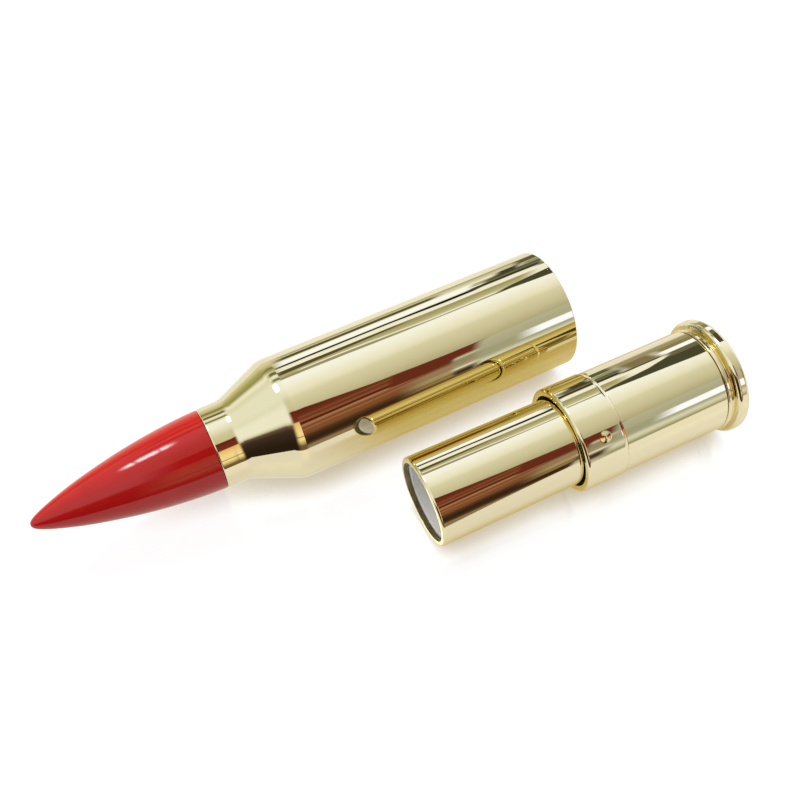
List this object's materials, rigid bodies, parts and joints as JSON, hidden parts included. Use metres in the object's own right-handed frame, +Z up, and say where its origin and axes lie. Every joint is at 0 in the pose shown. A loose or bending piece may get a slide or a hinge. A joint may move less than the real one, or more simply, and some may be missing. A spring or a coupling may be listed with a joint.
{
  "type": "lipstick case",
  "caption": "Cartridge-shaped twist-up lipstick case lying open: gold base with sleeve, collar and rimmed foot, and a long gold cap with a red ogive tip.",
  "frame": {"origin": "bottom centre of the opened case as it lies on its side, on the floor", "axes": "+X along the base unit from its mouth to its foot, +Z up from the floor, +Y from the base unit to the cap lying beside it"},
  "size_m": [0.1176, 0.0476, 0.022],
  "materials": {
    "gold_metal": "mirror-polished pale gold plating",
    "red_gloss": "glossy deep red",
    "white_plastic": "satin white moulding",
    "black_silicone": "matt black",
    "steel": "turned steel"
  },
  "bodies": {
    "base": {"rim_foot": "gold_metal", "bottom_plate": "gold_metal", "ballast_weight": "steel", "base_shell": "gold_metal", "collar_ring": "gold_metal", "base_core": "white_plastic", "retainer_ring": "white_plastic", "brake_ring": "black_silicone", "fork_tube": "white_plastic"},
    "sleeve": {"sleeve_tube": "gold_metal", "spiral_sleeve": "white_plastic"},
    "carrier": {"cup": "white_plastic"},
    "cap": {"cap_shell": "gold_metal", "cap_liner": "white_plastic", "cap_tip": "red_gloss"}
  },
  "joints": [
    {"name": "sleeve_twist", "type": "hinge", "parent": "base", "child": "sleeve", "pos_m": [0.02847, -0.01334, 0.00953], "axis": [0.9995, 0, 0.032], "range_deg": [0, 540]},
    {"name": "cup_rise", "type": "slide", "parent": "base", "child": "carrier", "axis": [-0.9995, 0, -0.032], "range_m": [0, 0.024]},
    {"name": "cap_draw", "type": "slide", "parent": "base", "child": "cap", "axis": [0.9994, 0.0345, 0], "range_m": [-0.0383, 0.0175]}
  ],
  "couplings": [
    {"joint": "cup_rise", "follows": "sleeve_twist", "m_per_rad": 0.0025464}
  ]
}
